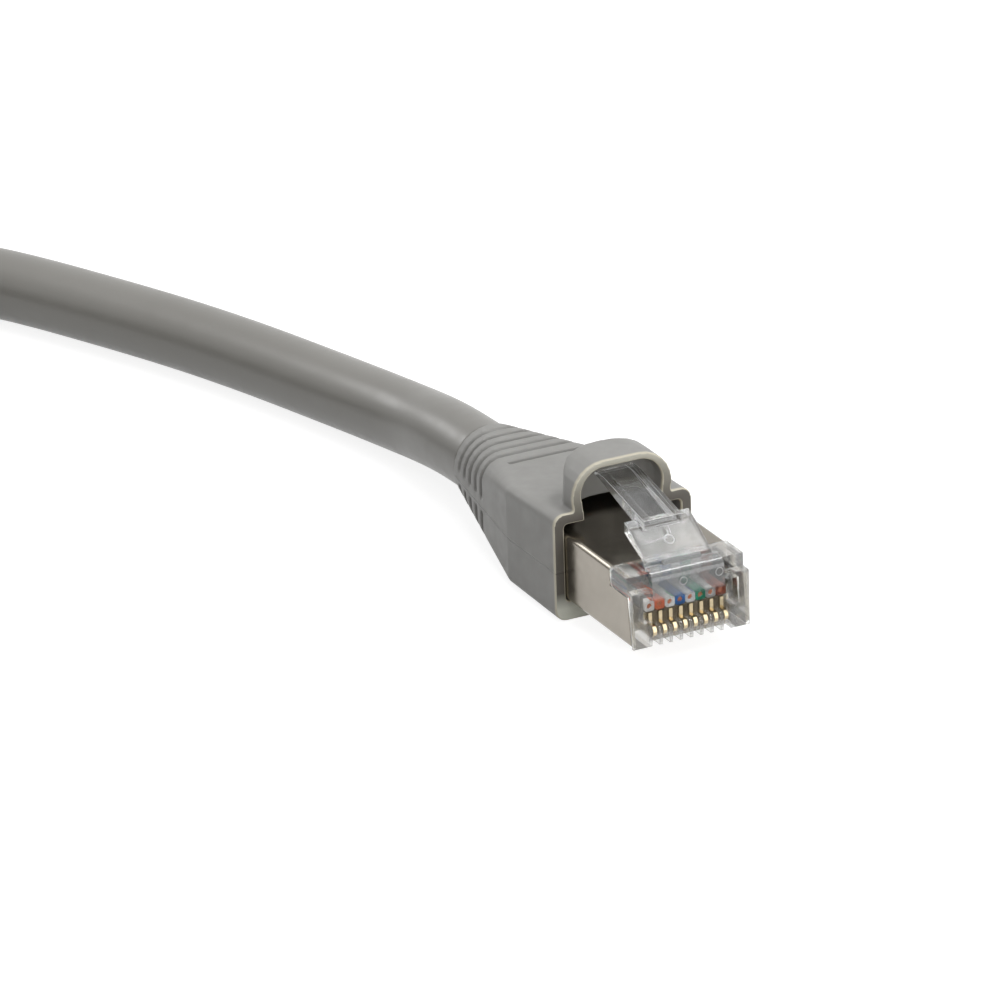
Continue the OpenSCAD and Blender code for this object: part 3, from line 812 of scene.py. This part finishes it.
# ---------------------------------------------------------------- strap
def strap():
    """Hook and loop strap round the coil, with rounded corners and thinner edges."""
    thick, corner, edge_drop = 1.0, 3.0, 0.18
    corner_steps, across = 8, 8
    low, high = (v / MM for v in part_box("cable_tie"))
    y_mid, width = (low.y + high.y) / 2, high.y - low.y
    left, right = low.x + corner, high.x - corner
    bottom, top = corner, high.z - corner
    rows = []
    for x, z, start in ((left, bottom, 180), (right, bottom, 270), (right, top, 0),
                        (left, top, 90)):
        for k in range(corner_steps + 1):
            angle = math.radians(start + 90 * k / corner_steps)
            out = Vector((math.cos(angle), 0, math.sin(angle)))
            outer, inner = [], []
            for j in range(across + 1):
                spot = Vector((x, y_mid + width * (j / across - 0.5), z)) + corner * out
                drop = edge_drop if j in (0, across) else 0.0
                outer.append((spot - out * drop) * MM)
                inner.append((spot - out * (thick - drop)) * MM)
            rows.append(outer + inner[::-1])
    points = [p for row in rows for p in row]
    count = len(rows[0])
    faces = []
    for i in range(len(rows)):
        j = (i + 1) % len(rows)
        for k in range(count):
            m = (k + 1) % count
            faces.append((i * count + k, i * count + m, j * count + m, j * count + k))
    return mesh_object("hook_loop_strap", points, faces)


tie = strap()
dress(tie, "strap_fabric")
stand_in(tie, "cord_set", "strap_fabric", "cable_tie")


# ---------------------------------------------------------------- floor, world and lamps
def background_ray(tree):
    """1 for a ray that shows the background: seen straight, mirrored or through plastic."""
    path = tree.nodes.new("ShaderNodeLightPath")
    value = path.outputs["Is Camera Ray"]
    for name in ("Is Glossy Ray", "Is Transmission Ray"):
        either = tree.nodes.new("ShaderNodeMath")
        either.operation = "MAXIMUM"
        tree.links.new(value, either.inputs[0])
        tree.links.new(path.outputs[name], either.inputs[1])
        value = either.outputs[0]
    return value


def make_floor(size, grey, glow_level):
    """A pale floor that keeps the object's shadow and looks white round it."""
    floor = mesh_object("floor", [(-size, -size, 0), (size, -size, 0), (size, size, 0),
                                  (-size, size, 0)], [(0, 1, 2, 3)], smooth=False)
    # Just under the cable, so that the two never share a plane
    floor.location.z = -0.02 * MM
    material = bpy.data.materials.new("pale_floor")
    material.use_nodes = True
    tree = material.node_tree
    tree.nodes.clear()
    diffuse = tree.nodes.new("ShaderNodeBsdfDiffuse")
    diffuse.inputs["Color"].default_value = (grey, grey, grey, 1)
    glow = tree.nodes.new("ShaderNodeEmission")
    amount = tree.nodes.new("ShaderNodeMath")
    amount.operation = "MULTIPLY"
    amount.inputs[1].default_value = glow_level
    tree.links.new(background_ray(tree), amount.inputs[0])
    tree.links.new(amount.outputs[0], glow.inputs["Strength"])
    both = tree.nodes.new("ShaderNodeAddShader")
    tree.links.new(diffuse.outputs[0], both.inputs[0])
    tree.links.new(glow.outputs[0], both.inputs[1])
    output = tree.nodes.new("ShaderNodeOutputMaterial")
    tree.links.new(both.outputs[0], output.inputs["Surface"])
    floor.data.materials.append(material)


def make_world(light_level):
    """Soft even light from all round, in front of a white background."""
    world = bpy.data.worlds.new("studio")
    scene.world = world
    world.use_nodes = True
    tree = world.node_tree
    background = tree.nodes["Background"]
    background.inputs["Color"].default_value = (1, 1, 1, 1)
    level = tree.nodes.new("ShaderNodeMapRange")
    level.inputs["To Min"].default_value = light_level
    level.inputs["To Max"].default_value = 1.0
    tree.links.new(background_ray(tree), level.inputs["Value"])
    tree.links.new(level.outputs[0], background.inputs["Strength"])


def area_light(name, place, size, power):
    """A rectangular lamp that faces the near plug."""
    data = bpy.data.lights.new(name, "AREA")
    data.shape = "RECTANGLE"
    data.size, data.size_y = size
    data.energy = power
    light = bpy.data.objects.new(name, data)
    scene.collection.objects.link(light)
    light.location = place
    light.rotation_euler = (-Vector(place)).to_track_quat("-Z", "Y").to_euler()


make_floor(size=3.0, grey=0.4, glow_level=0.84)
make_world(light_level=0.28)
area_light("top_softbox", (0.05, 0.15, 0.75), (0.7, 0.7), 3.2)
area_light("highlight", (0.16, 0.32, 0.71), (0.12, 0.2), 1.0)
area_light("front_softbox", (0.85, 0.08, 0.26), (0.7, 0.5), 3.6)
area_light("rear_strip", (-0.75, -0.35, 0.42), (0.3, 0.3), 1.2)

scene.view_settings.view_transform = "Standard"
